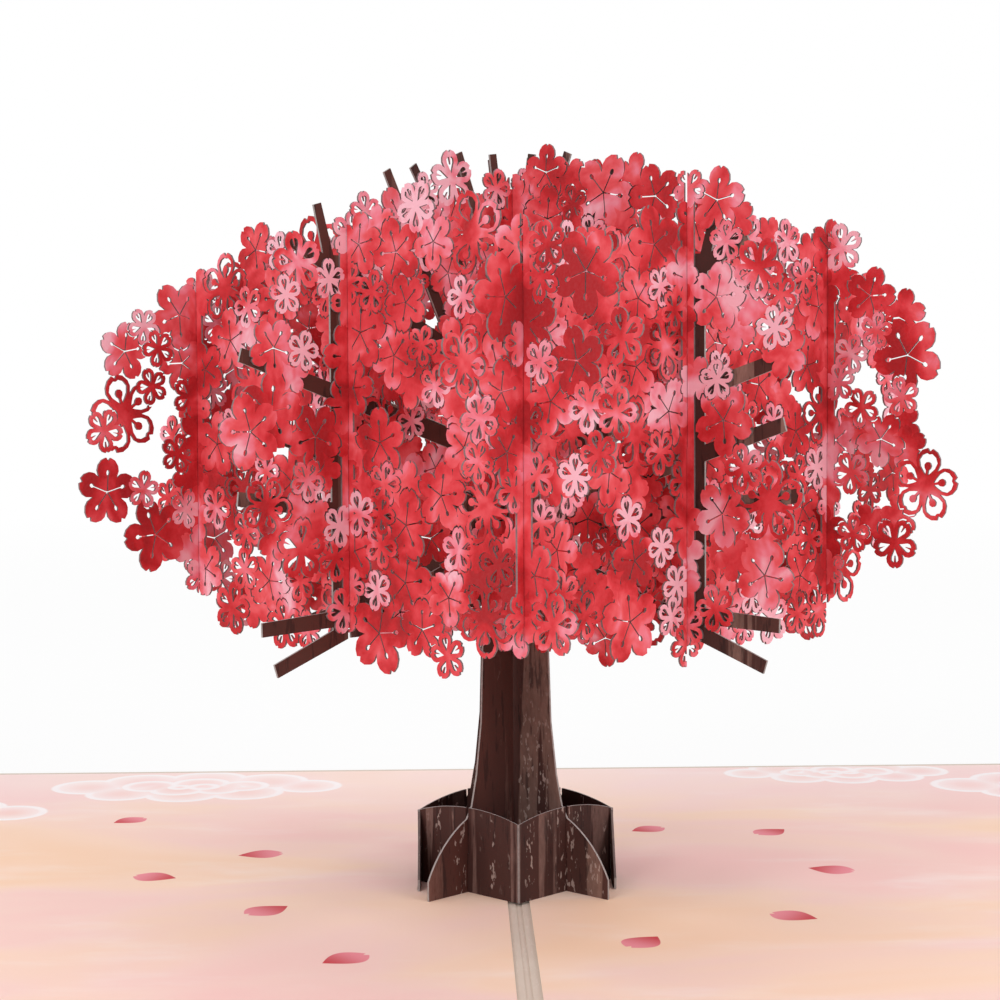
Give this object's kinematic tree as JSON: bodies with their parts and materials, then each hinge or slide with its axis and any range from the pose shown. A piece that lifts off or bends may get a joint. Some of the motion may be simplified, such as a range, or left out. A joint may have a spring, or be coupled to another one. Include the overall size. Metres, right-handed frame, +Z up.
{
  "type": "pop up card",
  "caption": "Opened greeting card with a cherry tree of slotted paper sheets: a square root ring, a crossed trunk and a crown of cut-out blossoms.",
  "frame": {"origin": "middle of the opened card's underside, below the tree's axis", "axes": "+X across the opened card to the right half, +Y along the fold to the back, +Z up along the trunk"},
  "size_m": [0.254, 0.1778, 0.1043],
  "materials": {
    "cover_board": "matte taupe cover stock, scored along the fold",
    "inner_print": "matte paper with a washed peach and pink print, pale clouds and loose petals",
    "bark_print": "matte paper printed as dark brown bark, pale at its cut edges",
    "blossom_print": "matte paper with a washed coral, red and pink blossom print, cut through in petals"
  },
  "bodies": {
    "root": {"card_cover": "cover_board", "inner_panel_left": "inner_print", "inner_panel_right": "inner_print", "root_ring_front": "bark_print", "root_ring_back": "bark_print", "trunk_sheet_a": "bark_print", "trunk_sheet_b": "bark_print", "blossom_layer_a": "blossom_print", "blossom_layer_b": "blossom_print", "blossom_sheet_a_front": "blossom_print", "blossom_sheet_a_back": "blossom_print", "blossom_sheet_b_front": "blossom_print", "blossom_sheet_b_back": "blossom_print"}
  },
  "joints": []
}
